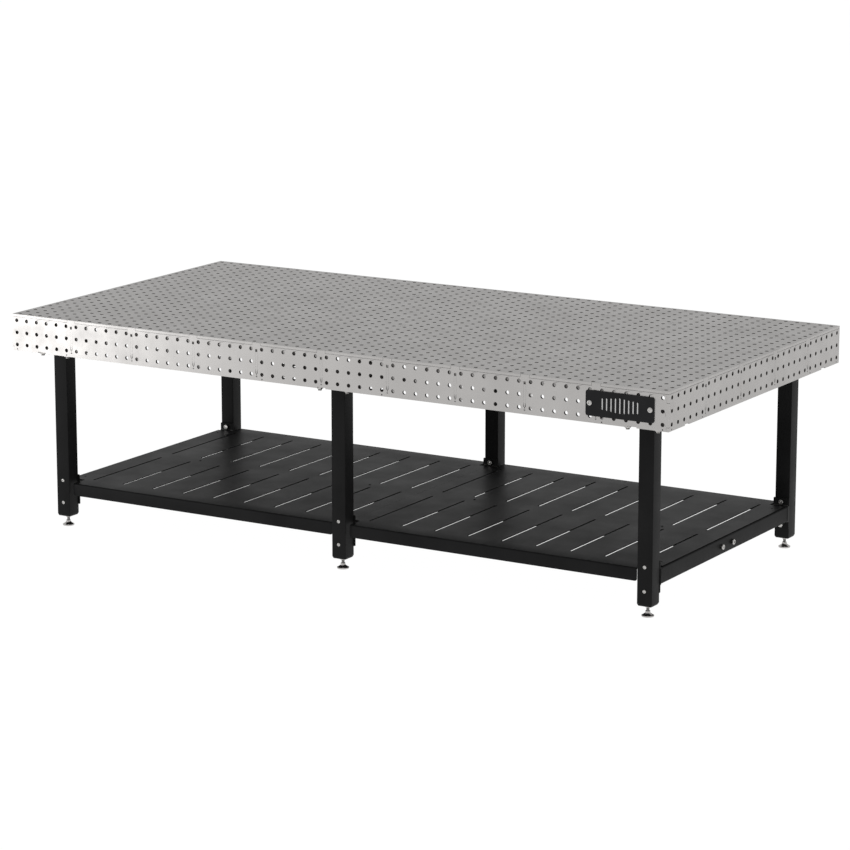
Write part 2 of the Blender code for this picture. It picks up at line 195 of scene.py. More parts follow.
def steel_plate(name, dark, light, grain):
    """Bare plate: a faint rolled grain, clouds of mill tone and light handling marks."""
    made, nodes, links = node_material(name)
    shader = nodes["Principled BSDF"]
    shader.inputs["Metallic"].default_value = 1.0
    place = nodes.new("ShaderNodeTexCoord").outputs["Object"]
    clouds = add_noise(nodes, links, place, 3.5, 6.0, 0.6)
    speck = add_noise(nodes, links, place, 420.0, 3.0)
    lines = add_noise(nodes, links, stretched(nodes, links, place, grain), 60.0, 5.0, 0.7)
    tone = add_math(nodes, links, "MULTIPLY", clouds, 0.55)
    tone = add_math(nodes, links, "ADD", tone, add_math(nodes, links, "MULTIPLY", lines, 0.3))
    tone = add_math(nodes, links, "ADD", tone, add_math(nodes, links, "MULTIPLY", speck, 0.15))
    smear = add_noise(nodes, links, place, 9.0, 5.0, 0.6)
    tone_and_gloss(nodes, links, shader, tone, [(0.30, dark), (0.70, light)], smear, (0.34, 0.46))
    height = add_math(nodes, links, "ADD", add_math(nodes, links, "MULTIPLY", lines, 0.6), speck)
    add_bump(nodes, links, shader, height, 0.12, 0.0004)
    return made


def powder_coat(name, dark, light, rough=(0.36, 0.50), grain=900.0, gloss=0.055):
    """Black powder coat: a fine orange-peel skin with a little dust in its tone."""
    made, nodes, links = node_material(name)
    shader = nodes["Principled BSDF"]
    shader.inputs["Specular IOR Level"].default_value = gloss
    place = nodes.new("ShaderNodeTexCoord").outputs["Object"]
    dust = add_noise(nodes, links, place, 5.0, 6.0, 0.6)
    tone_and_gloss(nodes, links, shader, dust, [(0.32, dark), (0.68, light)], dust, rough)
    peel = add_noise(nodes, links, place, grain, 2.0)
    add_bump(nodes, links, shader, peel, 0.22, 0.0003)
    return made


def zinc_plate(name, dark, light, rough=(0.18, 0.34)):
    """Bright zinc: a pale metal with small changes of tone and gloss."""
    made, nodes, links = node_material(name)
    shader = nodes["Principled BSDF"]
    shader.inputs["Metallic"].default_value = 1.0
    place = nodes.new("ShaderNodeTexCoord").outputs["Object"]
    patches = add_noise(nodes, links, place, 90.0, 5.0, 0.65)
    tone_and_gloss(nodes, links, shader, patches, [(0.30, dark), (0.72, light)], patches, rough)
    fine = add_noise(nodes, links, place, 1800.0, 2.0)
    add_bump(nodes, links, shader, fine, 0.10, 0.0002)
    return made


def cut_edge(name, dark, light):
    """The wall of a laser-cut hole: dull and finely streaked, and coloured darker than the face as painted
    shade for the dark insides of the holes.
    """
    made, nodes, links = node_material(name)
    shader = nodes["Principled BSDF"]
    shader.inputs["Metallic"].default_value = 0.6
    place = nodes.new("ShaderNodeTexCoord").outputs["Object"]
    streaks = add_noise(nodes, links, place, 650.0, 4.0, 0.7)
    tone_and_gloss(nodes, links, shader, streaks, [(0.30, dark), (0.70, light)], streaks, (0.52, 0.68))
    add_bump(nodes, links, shader, streaks, 0.25, 0.0003)
    return made


def weld_bead(name):
    """Fused metal under the black coat: rippled and a little glossier than the tube."""
    made, nodes, links = node_material(name)
    shader = nodes["Principled BSDF"]
    place = nodes.new("ShaderNodeTexCoord").outputs["Object"]
    ripple = add_noise(nodes, links, place, 240.0, 3.0)
    stops = [(0.3, (0.010, 0.010, 0.010)), (0.7, (0.022, 0.022, 0.022))]
    tone_and_gloss(nodes, links, shader, ripple, stops, ripple, (0.26, 0.42))
    add_bump(nodes, links, shader, ripple, 0.35, 0.0006)
    return made


STEEL_DARK = (0.395, 0.385, 0.376)
STEEL_LIGHT = (0.465, 0.454, 0.444)
TOP_STEEL = steel_plate("top_steel", STEEL_DARK, STEEL_LIGHT, (1.0, 8.0, 1.0))
SIDE_STEEL = steel_plate("side_steel", STEEL_DARK, STEEL_LIGHT, (1.0, 1.0, 9.0))
RIB_STEEL = steel_plate("rib_steel", STEEL_DARK, STEEL_LIGHT, (1.0, 1.0, 7.0))
MOUNT_STEEL = steel_plate("mount_steel", STEEL_DARK, STEEL_LIGHT, (6.0, 1.0, 1.0))
LEG_COAT = powder_coat("leg_powder", (0.0070, 0.0070, 0.0071), (0.0110, 0.0110, 0.0111))
BEAM_COAT = powder_coat("beam_powder", (0.0070, 0.0070, 0.0071), (0.0110, 0.0110, 0.0111))
SHELF_COAT = powder_coat(
    "shelf_powder", (0.007, 0.007, 0.0072), (0.011, 0.011, 0.0113), (0.38, 0.48), 700.0, 0.07
)
PLAQUE_COAT = powder_coat(
    "plaque_powder", (0.012, 0.012, 0.0125), (0.019, 0.019, 0.020), (0.30, 0.40), 1200.0
)
BOLT_ZINC = zinc_plate("bolt_zinc", (0.42, 0.41, 0.40), (0.60, 0.59, 0.57))
STEM_ZINC = zinc_plate("stem_zinc", (0.38, 0.375, 0.37), (0.52, 0.51, 0.50), (0.20, 0.32))
PAD_ZINC = zinc_plate("pad_zinc", (0.40, 0.385, 0.375), (0.54, 0.525, 0.515), (0.12, 0.24))
INLAY_STEEL = steel_plate("inlay_steel", (0.50, 0.50, 0.50), (0.62, 0.62, 0.61), (1.0, 1.0, 9.0))
WELD = weld_bead("weld_bead")
# Cut walls of the plates: partly the dull cut edge, partly painted shade that darkens the insides of the
# holes and slots
CUT_EDGE_AND_SHADE = cut_edge("laser_cut_edge_and_painted_shade", (0.075, 0.070, 0.066), (0.125, 0.118, 0.112))
# The shelf sheet's cut walls are coloured darker than its face: painted shade for the dark gap under the
# sheet's ends, and along its slots and notches
SHELF_EDGE_AND_SHADE = powder_coat("shelf_edge_and_painted_shade", (0.003, 0.003, 0.003), (0.005, 0.005, 0.005), (0.5, 0.6), 700.0, 0.01)


# ---------------------------------------------------------------- mesh helpers


def shown(name, points, faces, look, body=ROOT, stands_for=(), crease=35):
    """A finished piece: its mesh, material, body and the nodes it stands for."""
    mesh = bpy.data.meshes.new(name)
    mesh.from_pydata([tuple(p) for p in points], [], faces)
    mesh.validate()
    mesh.materials.append(look)
    for face in mesh.polygons:
        face.use_smooth = True
    mesh.set_sharp_from_angle(angle=math.radians(crease))
    obj = bpy.data.objects.new(name, mesh)
    bpy.context.scene.collection.objects.link(obj)
    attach(obj, body)
    if stands_for:
        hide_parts(*stands_for)
    return obj


class Flat:
    """A flat drawing of polygons that meet edge to edge. Points closer than a micron are one."""

    def __init__(self):
        self.points = []
        self.index = {}
        self.faces = []
        self.rims = set()
        self.rim_walls = 0

    def point(self, u, v):
        key = (round(u * 1e6), round(v * 1e6))
        if key not in self.index:
            self.index[key] = len(self.points)
            self.points.append((u, v))
        return self.index[key]

    def angle(self, p, centre):
        u, v = self.points[p]
        return math.atan2(v - centre[1], u - centre[0]) % (2 * math.pi)

    def polygon(self, corners):
        self.faces.append([self.point(u, v) for u, v in corners])

    def filled(self, outline, holes=()):
        """An outline with holes, as triangles."""
        loops = [outline, *holes]
        flat = [p for loop in loops for p in loop]
        ids = [self.point(u, v) for u, v in flat]
        self.rims.update(ids[len(outline) :])
        drawn = [[Vector((u, v, 0)) for u, v in loop] for loop in loops]
        for a, b, c in tessellate_polygon(drawn):
            pa, pb, pc = flat[a], flat[b], flat[c]
            area = (pb[0] - pa[0]) * (pc[1] - pa[1]) - (pb[1] - pa[1]) * (pc[0] - pa[0])
            self.faces.append([ids[a], ids[b], ids[c]] if area > 0 else [ids[a], ids[c], ids[b]])

    def pierced(self, centre, radius, around):
        """A round hole in a cell whose edge points can all be seen from the hole's centre."""
        cu, cv = centre
        turns = [2 * math.pi / HOLE_STEPS * (i + 0.5) for i in range(HOLE_STEPS)]
        hole = [
            (angle, self.point(cu + radius * math.cos(angle), cv + radius * math.sin(angle)))
            for angle in turns
        ]
        self.rims.update(p for _, p in hole)
        corners = {self.point(u, v) for u, v in around}
        edge = sorted((self.angle(p, centre), p) for p in corners)
        walk = [("hole", a, p) for a, p in hole] + [("edge", a, p) for a, p in edge]
        walk.sort(key=lambda item: item[1])
        last = {"hole": hole[-1][1], "edge": edge[-1][1]}
        for kind, _, p in walk:
            self.faces.append([last["hole"], last["edge"], p])
            last[kind] = p

    def solid(self, outer, inner):
        """Both faces and the walls between them. outer and inner place a flat point in space."""
        count = len(self.points)
        points = [outer(u, v) for u, v in self.points]
        points += [inner(u, v) for u, v in self.points]
        once = {}
        for face in self.faces:
            for a, b in zip(face, face[1:] + face[:1]):
                if (b, a) in once:
                    del once[(b, a)]
                else:
                    once[(a, b)] = True
        faces = [list(face) for face in self.faces]
        faces += [[p + count for p in reversed(face)] for face in self.faces]
        walls = sorted(once, key=lambda wall: set(wall) <= self.rims)
        faces += [[b, a, a + count, b + count] for a, b in walls]
        self.rim_walls = sum(1 for wall in walls if set(wall) <= self.rims)
        return points, faces


def plane(kind, face, side):
    """Places a flat point on a plate whose outer face is at `face`, with normal `side`."""
    def outer(u, v, depth=0.0):
        at = face - side * depth
        if kind == "XY":
            return (u, v, at)
        if kind == "XZ":
            return (-side * u, at, v)
        return (at, side * u, v)

    return outer


def edge_faces(piece, count, look):
    """Gives the piece's last faces, the walls of its cuts, a material of their own."""
    piece.data.materials.append(look)
    for face in piece.data.polygons[-count:]:
        face.material_index = 1


def slab(name, flat, kind, face, side, thick, look, body=ROOT, stands_for=(), edge=None):
    place = plane(kind, face, side)
    points, faces = flat.solid(place, lambda u, v: place(u, v, thick))
    if kind == "XY" and side < 0:
        faces = [f[::-1] for f in faces]
    piece = shown(name, points, faces, look, body, stands_for)
    if edge and flat.rim_walls:
        edge_faces(piece, flat.rim_walls, edge)
    return piece


def joined_rings(parts):
    """Skins rings of equal point counts. Each part is (rings, loop); loop joins last to first."""
    points = []
    faces = []
    for rings, loop in parts:
        base = len(points)
        count = len(rings[0])
        points += [p for ring in rings for p in ring]
        pairs = len(rings) if loop else len(rings) - 1
        for k in range(pairs):
            near = base + k * count
            far = base + (k + 1) % len(rings) * count
            for i in range(count):
                j = (i + 1) % count
                faces.append([near + i, near + j, far + j, far + i])
    return points, faces


def steel_slab(name, flat, kind, face, side, look, node, edge=None):
    """A slab of the box's plate that stands for one node."""
    slab(name, flat, kind, face, side, PLATE, look, ROOT, [node], edge)


def rings_piece(name, rings, look, crease, loop, body=ROOT, stands_for=()):
    points, faces = joined_rings([(rings, loop)])
    return shown(name, points, faces, look, body, stands_for, crease)


def rounded(half_u, half_v, radius, steps, centre=(0.0, 0.0)):
    points = []
    for quarter in range(4):
        su = 1 if quarter in (0, 3) else -1
        sv = 1 if quarter in (0, 1) else -1
        for i in range(steps + 1):
            angle = math.pi / 2 * (quarter + i / steps)
            points.append(
                (
                    centre[0] + su * (half_u - radius) + radius * math.cos(angle),
                    centre[1] + sv * (half_v - radius) + radius * math.sin(angle),
                )
            )
    return points


def circle(u, v, radius, steps):
    turn = 2 * math.pi / steps
    return [
        (u + radius * math.cos(turn * i), v + radius * math.sin(turn * i))
        for i in range(steps)
    ]


# ---------------------------------------------------------------- the box top


def corner_cut(cu, cv, su, sv, a, b):
    return [(cu, cv + sv * b), (cu + su * a, cv + sv * b), (cu + su * a, cv)]


def close_to(value, places):
    return any(abs(value - place) < 1e-5 for place in places)


def top_corner(cu, cv, su, sv):
    """The points of a top cell near one of its corners, with any slot there cut away."""
    on_long = abs(abs(cv) - HALF_Y) < 1e-5
    on_end = abs(abs(cu) - HALF_X) < 1e-5
    at_cross = close_to(cu, CROSS_X)
    at_long = close_to(cv, LONG_Y)
    wide = TAB / 2 + TOP_GAP
    if at_cross and at_long:
        return corner_cut(cu, cv, su, sv, PLATE / 2 + TOP_GAP, wide)
    if at_cross and on_long:
        return corner_cut(cu, cv, su, sv, wide, PLATE + TOP_GAP)
    if at_long and on_end:
        return corner_cut(cu, cv, su, sv, PLATE + TOP_GAP, wide)
    return [(cu, cv)]


def make_top():
    flat = Flat()
    for i in range(round(2 * HALF_X / CELL)):
        for j in range(round(2 * HALF_Y / CELL)):
            u0 = -HALF_X + CELL * i
            v0 = -HALF_Y + CELL * j
            around = []
            for cu, su in ((u0, 1), (u0 + CELL, -1)):
                for cv, sv in ((v0, 1), (v0 + CELL, -1)):
                    around += top_corner(cu, cv, su, sv)
            flat.pierced((u0 + CELL / 2, v0 + CELL / 2), HOLE, around)
    steel_slab("top_perforated", flat, "XY", HEIGHT, 1, TOP_STEEL, "top_plate", CUT_EDGE_AND_SHADE)


def side_cell(u0, row, ribs, notches, reach, ends_in, marked, fingers):
    """One hole cell of a side plate, as (centre, edge points, extra polygons). v runs up."""
    def z(depth):
        return HEIGHT - depth

    lid = PLATE + SEAM
    top = z(lid) if row == 0 else z(CELL * row)
    bottom = z(CELL * (row + 1)) if row < 2 else z(DEPTH)
    floor = z(BAND) if marked and row == 2 else bottom
    around = []
    extra = []
    for cu, su in ((u0, 1), (u0 + CELL, -1)):
        rib = close_to(cu, ribs)
        at_end = abs(abs(cu) - reach) < 1e-5
        side_u = cu + su * ends_in if at_end else cu
        if rib and row == 0:
            around += [(cu, top), (cu, z(RIB_SLOT_TOP)), (cu + su * RIB_SLOT, z(RIB_SLOT_TOP))]
            around += [(cu + su * RIB_SLOT, bottom), (cu + su * TAB / 2, top)]
        elif rib and row == 1:
            around += [(cu + su * RIB_SLOT, top), (cu + su * RIB_SLOT, bottom)]
        elif rib:
            around += [(cu + su * RIB_SLOT, top), (cu + su * RIB_SLOT, z(RIB_SLOT_BOTTOM))]
            around += [(cu, z(RIB_SLOT_BOTTOM)), (cu, z(BAND))]
        else:
            around += [(side_u, top)]
            if row == 2:
                around += [(side_u, z(BAND))]
            if row < 2:
                around += [(side_u, bottom)]
            if at_end and row == 0:
                around += [(side_u, z(fingers[0]))]
            if at_end and row == 2:
                around += [(side_u, z(fingers[1]))]
        if row == 2 and floor == bottom:
            if close_to(cu, notches):
                if rib:
                    around.remove((cu, z(BAND)))
                around += [(cu, z(BAND))]
                around += corner_cut(cu, bottom, su, 1, NOTCH_HALF, NOTCH_DEPTH)
            else:
                around += [(side_u, bottom)]
    centre = (u0 + CELL / 2, z(CELL * (row + 0.5)))
    if floor != bottom:
        m0 = centre[0] - MARK_HALF
        m1 = centre[0] + MARK_HALF
        left = u0 + ends_in if abs(u0 + reach) < 1e-5 else u0
        right = u0 + CELL - ends_in if abs(u0 + CELL - reach) < 1e-5 else u0 + CELL
        around += [(m0, floor), (m1, floor)]
        hi, lo = z(MARK_TOP), z(MARK_BOTTOM)
        extra.append([(left, bottom), (m0, bottom), (m0, lo), (m0, hi), (m0, floor), (left, floor)])
        extra.append([(m1, bottom), (right, bottom), (right, floor), (m1, floor), (m1, hi), (m1, lo)])
        extra.append([(m0, hi), (m1, hi), (m1, floor), (m0, floor)])
        extra.append([(m0, bottom), (m1, bottom), (m1, lo), (m0, lo)])
    return centre, around, extra


def make_side(name, kind, side, reach, ribs, notches, marks, finger, node):
    """A perforated side plate. finger is True where its ends reach the corner at mid height."""
    flat = Flat()
    ends_in = PLATE + FIT
    gap = SEAM if finger else 0.0
    fingers = (FINGER_TOP + gap, FINGER_BOTTOM - gap)
    for i in range(round(2 * reach / CELL)):
        u0 = -reach + CELL * i
        for row in range(3):
            marked = close_to(u0 + CELL / 2, marks)
            centre, around, extra = side_cell(u0, row, ribs, notches, reach, ends_in, marked, fingers)
            flat.pierced(centre, HOLE, around)
            for corners in extra:
                flat.polygon(corners)
    lid = HEIGHT - PLATE - SEAM
    for u in ribs:
        half = TAB / 2
        flat.polygon([(u - half, lid), (u, lid), (u + half, lid), (u + half, HEIGHT), (u - half, HEIGHT)])
    rows = [HEIGHT - CELL, HEIGHT - 2 * CELL]
    high = HEIGHT - fingers[0]
    low = HEIGHT - fingers[1]
    band = HEIGHT - BAND
    for end in (-1, 1):
        out = end * reach
        inner = end * (reach - ends_in)
        if finger:
            strips = [[high, rows[0], rows[1], low]]
        else:
            strips = [[lid, high], [low, band, BOX_LOW]]
        for levels in strips:
            corners = [(inner, v) for v in levels] + [(out, levels[-1]), (out, levels[0])]
            flat.polygon(corners if end > 0 else corners[::-1])
    face = side * (HALF_Y if kind == "XZ" else HALF_X)
    steel_slab(name, flat, kind, face, side, SIDE_STEEL, node, CUT_EDGE_AND_SHADE)


def make_sides():
    legs = (-LEG_X, 0.0, LEG_X)
    corner_marks = [s * (LEG_X + d) for s in (-1, 1) for d in (-MOUNT_TAB, MOUNT_TAB)]
    long_marks = corner_marks + [-MID_MOUNT_TAB, MID_MOUNT_TAB]
    end_marks = [s * (LEG_Y + d) for s in (-1, 1) for d in (-MOUNT_TAB, MOUNT_TAB)]
    for word, side in SIDES.items():
        name, node = f"side_perforated_{word}", f"side_plate_{word}"
        make_side(name, "XZ", side, HALF_X, CROSS_X, legs, long_marks, True, node)
    for word in ("left", "right"):
        name, node = f"end_perforated_{word}", f"end_plate_{word}"
        make_side(name, "YZ", ENDS[word], HALF_Y, LONG_Y, (-LEG_Y, LEG_Y), end_marks, False, node)


make_top()
make_sides()


# ---------------------------------------------------------------- ribs and mounting plates


def obround(u0, u1, v0, v1, steps=12):
    half_u = (u1 - u0) / 2
    half_v = (v1 - v0) / 2
    radius = min(half_u, half_v) - 1e-5
    return rounded(half_u, half_v, radius, steps, ((u0 + u1) / 2, (v0 + v1) / 2))


RIB_TOP = HEIGHT - PLATE - FIT
RIB_MID = (RIB_TOP + RIB_LOW) / 2
END_TAB = (0.0365, 0.124)  # its top and bottom, down from the table top
WINDOW = (0.107, 0.0445, 0.1195)  # half its length, its top and its bottom
LONG_RIB_WINDOWS = (0, 4, 5, 9)  # the cells that have one
MID_WINDOW_X = 0.19
MID_WINDOW_Y = (0.526, 0.706)


def rib_outline(reach, crossings, lap_below, tabs):
    """A rib seen from its side: end tabs, half-lap slots and, on cross ribs, top tabs."""
    inner = reach - PLATE - FIT
    right = [(inner, RIB_LOW), (inner, HEIGHT - END_TAB[1]), (reach, HEIGHT - END_TAB[1])]
    right += [(reach, HEIGHT - END_TAB[0]), (inner, HEIGHT - END_TAB[0]), (inner, RIB_TOP)]
    bottom = []
    top = []
    for u in crossings:
        if lap_below:
            bottom += [(u - RIB_SLOT, RIB_LOW), (u - RIB_SLOT, RIB_MID + FIT)]
            bottom += [(u + RIB_SLOT, RIB_MID + FIT), (u + RIB_SLOT, RIB_LOW)]
        else:
            top += [(u - RIB_SLOT, RIB_TOP), (u - RIB_SLOT, RIB_MID)]
            top += [(u + RIB_SLOT, RIB_MID), (u + RIB_SLOT, RIB_TOP)]
        if tabs:
            top += [(u - TAB / 2, RIB_TOP), (u - TAB / 2, HEIGHT)]
            top += [(u + TAB / 2, HEIGHT), (u + TAB / 2, RIB_TOP)]
    left = [(-u, v) for u, v in right]
    return bottom + right + top[::-1] + left[::-1]


def windows(cells, start):
    half, high, low = WINDOW
    made = []
    for cell in cells:
        u = start + PITCH * (cell + 0.5)
        made.append(obround(u - half, u + half, HEIGHT - low, HEIGHT - high))
    return made


def make_ribs():
    for number, x in enumerate(CROSS_X, 1):
        flat = Flat()
        flat.filled(rib_outline(HALF_Y, LONG_Y, True, True), windows(range(5), -HALF_Y))
        node = f"cross_rib_{number}"
        steel_slab(f"rib_across_{number}", flat, "YZ", x + PLATE / 2, 1, RIB_STEEL, node)
    for number, y in enumerate(LONG_Y, 1):
        flat = Flat()
        flat.filled(rib_outline(HALF_X, CROSS_X, False, False), windows(LONG_RIB_WINDOWS, -HALF_X))
        node = f"long_rib_{number}"
        steel_slab(f"rib_along_{number}", flat, "XZ", y - PLATE / 2, -1, RIB_STEEL, node)


def flange_holes(x, y):
    """The four bolt holes that a leg's flange and its mounting plate share."""
    return [
        circle(x + i * FLANGE_BOLT, y + j * FLANGE_BOLT, FLANGE_HOLE, 20)
        for i in (-1, 1)
        for j in (-1, 1)
    ]


def make_mount_plates():
    for word, end in ENDS.items():
        for way, side in SIDES.items():
            node = f"mount_plate_{way}_{word}"
            low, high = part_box(node)
            x = end * LEG_X
            y = side * LEG_Y
            flat = Flat()
            holes = flange_holes(x, y)
            if not end:
                v0, v1 = sorted((side * MID_WINDOW_Y[0], side * MID_WINDOW_Y[1]))
                for u in (MID_WINDOW_X, -MID_WINDOW_X):
                    holes.append(rounded(0.05, (v1 - v0) / 2, 0.012, 6, (u, (v0 + v1) / 2)))
            half_u = (high.x - low.x) / 2
            half_v = (high.y - low.y) / 2
            middle = ((low.x + high.x) / 2, (low.y + high.y) / 2)
            flat.filled(rounded(half_u, half_v, 0.004, 3, middle), holes)
            steel_slab(f"leg_mount_{way}_{word}", flat, "XY", high.z, 1, MOUNT_STEEL, node)


# ---------------------------------------------------------------- fasteners


def spin(profile, steps):
    """Rings of a turned shape about +Z from (radius, height) pairs."""
    return [[(u, v, h) for u, v in circle(0.0, 0.0, r, steps)] for r, h in profile]


def hex_ring(flats, height):
    """A hexagon as 24 points, its flats measured across."""
    steps = 24
    made = []
    for i in range(steps):
        angle = 2 * math.pi * i / steps
        local = (angle + math.pi / 6) % (math.pi / 3) - math.pi / 6
        radius = flats / 2 / math.cos(local)
        made.append((radius * math.cos(angle), radius * math.sin(angle), height))
    return made


def ring(radius, height):
    return [(u, v, height) for u, v in circle(0.0, 0.0, radius, 24)]


def hex_nut_rings(flats, tall, bore, base=0.0):
    """A chamfered hexagon nut, open at its bore."""
    crown = flats * 0.475
    rim = flats * 0.06
    return [
        ring(bore, base),
        ring(bore + 0.0005, base),
        ring(crown, base),
        hex_ring(flats, base + rim),
        hex_ring(flats, base + tall - rim),
        ring(crown, base + tall),
        ring(bore + 0.0008, base + tall),
        ring(bore, base + tall - 0.0008),
    ]


def thread_rings(radius, start, end, steps=20, per_turn=6):
    """A screw thread cut on a rod from height start up to end, and closed at its lower end."""
    rows = max(2, round((end - start) / THREAD_PITCH * per_turn))
    depth = THREAD_DEPTH * THREAD_PITCH
    rings = [[(0.0, 0.0, start)] * steps]
    for row in range(rows + 1):
        height = start + (end - start) * row / rows
        made = []
        for i in range(steps):
            phase = (height / THREAD_PITCH - i / steps) % 1.0
            lift = abs(2 * phase - 1)
            edge = min(1.0, min(height - start, end - height) / 0.0012)
            r = radius - depth * (1 - max(0.0, min(1.0, 1.25 * lift - 0.1))) - 0.0006 * (1 - edge)
            angle = 2 * math.pi * i / steps
            made.append((r * math.cos(angle), r * math.sin(angle), height))
        rings.append(made)
    return rings


def button_head_rings(radius, tall, socket):
    """A domed head with a hexagon socket, its face at height 0."""
    dome = [(0.96, 0.0), (1.0, 0.12), (0.97, 0.38), (0.86, 0.66), (0.70, 0.88), (0.56, 1.0)]
    rings = [ring(1e-5, 0.0)] + [ring(radius * r, tall * h) for r, h in dome]
    rings += [ring(socket * 0.60, tall)]
    rings += [hex_ring(socket, tall - 0.0004), hex_ring(socket, tall * 0.35)]
    rings += [ring(1e-5, tall * 0.30)]
    return rings


def placed(points, origin, axis):
    """Turns points made about +Z so that +Z lies along axis, then moves them to origin."""
    turn = Vector((0, 0, 1)).rotation_difference(Vector(axis)).to_matrix()
    return [turn @ Vector(p) + Vector(origin) for p in points]


def fastener(name, parts, origin, axis, look=BOLT_ZINC, stands_for=(), spin_by=0.0):
    """One fastener from ring skins about +Z. Each part is (rings, loop)."""
    points, faces = joined_rings(parts)
    turn = Matrix.Rotation(spin_by, 3, "Z")
    points = placed([turn @ Vector(p) for p in points], origin, axis)
    return shown(name, points, faces, look, ROOT, stands_for, 32)


def through_bolt(name, head_at, nut_at, stands_for=(), head_radius=0.0076, seed=0.0):
    """A button-head bolt from head_at to nut_at, its thread ending just inside the nut."""
    head = Vector(head_at)
    nut = Vector(nut_at)
    out = (head - nut).normalized()
    grip = (head - nut).length
    shank = BOLT_THREAD - 0.0002
    parts = [
        (button_head_rings(head_radius, 0.0038, 0.0060), False),
        (hex_nut_rings(NUT_HEX, 0.0108, shank, -grip - 0.0110), True),
        (thread_rings(BOLT_THREAD, -grip - 0.0090, -grip - 0.0010), False),
        ([ring(shank, -grip - 0.0015), ring(shank, 0.0002)], False),
    ]
    return fastener(name, parts, head, out, BOLT_ZINC, stands_for, seed)


def make_leg_bolts():
    outer = LEG_Y + TUBE / 2
    inner = LEG_Y - TUBE / 2 - BRACKET - FIT
    rng = random.Random(4)
    for word, end in ENDS.items():
        for way, side in SIDES.items():
            for level, lift in (("low", -LEG_BOLT), ("high", LEG_BOLT)):
                head = (end * LEG_X, side * outer, BEAM_Z + lift)
                nut = (end * LEG_X, side * inner, BEAM_Z + lift)
                through_bolt(f"leg_bolt_{way}_{word}_{level}", head, nut, seed=rng.random())


def make_flange_bolts():
    """Hexagon bolts down through the mounting plate and the flange, nuts below."""
    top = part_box("mount_plate_front_mid")[1].z
    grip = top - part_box("leg_front_mid")[1].z + PLATE
    rng = random.Random(5)
    shank = FLANGE_THREAD - 0.0004
    nut = 0.0139
    parts = [
        (hex_nut_rings(FLANGE_HEX, 0.0100, 0.0050), True),
        ([ring(1e-5, 0.0094), ring(0.0052, 0.0094)], False),
        (hex_nut_rings(FLANGE_HEX, nut, FLANGE_THREAD - 0.0003, -grip - nut), True),
        (thread_rings(FLANGE_THREAD, -grip - 0.0212, -grip - 0.0010), False),
        ([ring(shank, -grip - 0.0015), ring(shank, 0.0002)], False),
    ]
    for word, end in ENDS.items():
        for way, side in SIDES.items():
            for i in (-1, 1):
                for j in (-1, 1):
                    x = end * LEG_X + i * FLANGE_BOLT
                    y = side * LEG_Y + j * FLANGE_BOLT
                    name = f"flange_bolt_{way}_{word}_{(i + 1) // 2}{(j + 1) // 2}"
                    fastener(name, parts, (x, y, top), (0, 0, 1), spin_by=rng.random() * 2)


def make_beam_bolts():
    """Bolts through the cross beams that hold the long beams' end plates."""
    for number in range(1, 7):
        low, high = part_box(f"beam_bolt_{number}")
        y = (low.y + high.y) / 2
        out = -1 if number <= 2 else 1
        middle = number in (3, 4)
        face = -TUBE / 2 - BRACKET - FIT if middle else LEG_X + TUBE / 2
        back = -face if middle else LEG_X - TUBE / 2 - BRACKET - FIT
        head = (out * back, y, BEAM_Z)
        nut = (out * face, y, BEAM_Z)
        through_bolt(f"long_beam_bolt_{number}", head, nut, [f"beam_bolt_{number}"], 0.0105, 0.3 * number)


# ---------------------------------------------------------------- legs and feet


TUBE_STEPS = 6


def tube_ring(shrink, radius):
    corner = max(radius - shrink, 0.0012)
    return rounded(TUBE / 2 - shrink, TUBE / 2 - shrink, corner, TUBE_STEPS)


WELD_STEP = 0.0016


def weld_ring(outline, size, seed):
    """A fillet weld round a closed outline of (u, v, outward u, outward v), rippled along its run."""
    rows = 5
    rings = []
    for k, (u, v, nu, nv) in enumerate(outline):
        wobble = 1 + 0.10 * math.sin(k * 1.9 + seed) + 0.08 * noise.noise(Vector((u * 300, v * 300, seed)))
        made = []
        for row in range(rows):
            t = row / (rows - 1)
            bulge = 1 - 0.22 * math.sin(math.pi * t)
            out = size * wobble * (1 - t) * bulge
            down = size * wobble * t * bulge
            made.append((u + nu * out, v + nv * out, down))
        made.append((u - nu * 0.0015, v - nv * 0.0015, size * 0.5))
        made.append((u - nu * 0.0015, v - nv * 0.0015, -0.0005))
        rings.append(made)
    return rings


def walk_round(half, corner):
    """Points and outward normals round a square with round corners, evenly spaced."""
    made = []
    straight = 2 * (half - corner)
    arc = math.pi / 2 * corner
    total = 4 * (straight + arc)
    count = round(total / WELD_STEP)
    for k in range(count):
        s = total * k / count
        side = int(s // (straight + arc))
        s -= side * (straight + arc)
        turn = side * math.pi / 2
        if s < straight:
            u, v, nu, nv = half, -(half - corner) + s, 1.0, 0.0
        else:
            angle = (s - straight) / corner
            u = half - corner + corner * math.cos(angle)
            v = half - corner + corner * math.sin(angle)
            nu, nv = math.cos(angle), math.sin(angle)
        c, d = math.cos(turn), math.sin(turn)
        made.append((u * c - v * d, u * d + v * c, nu * c - nv * d, nu * d + nv * c))
    return made


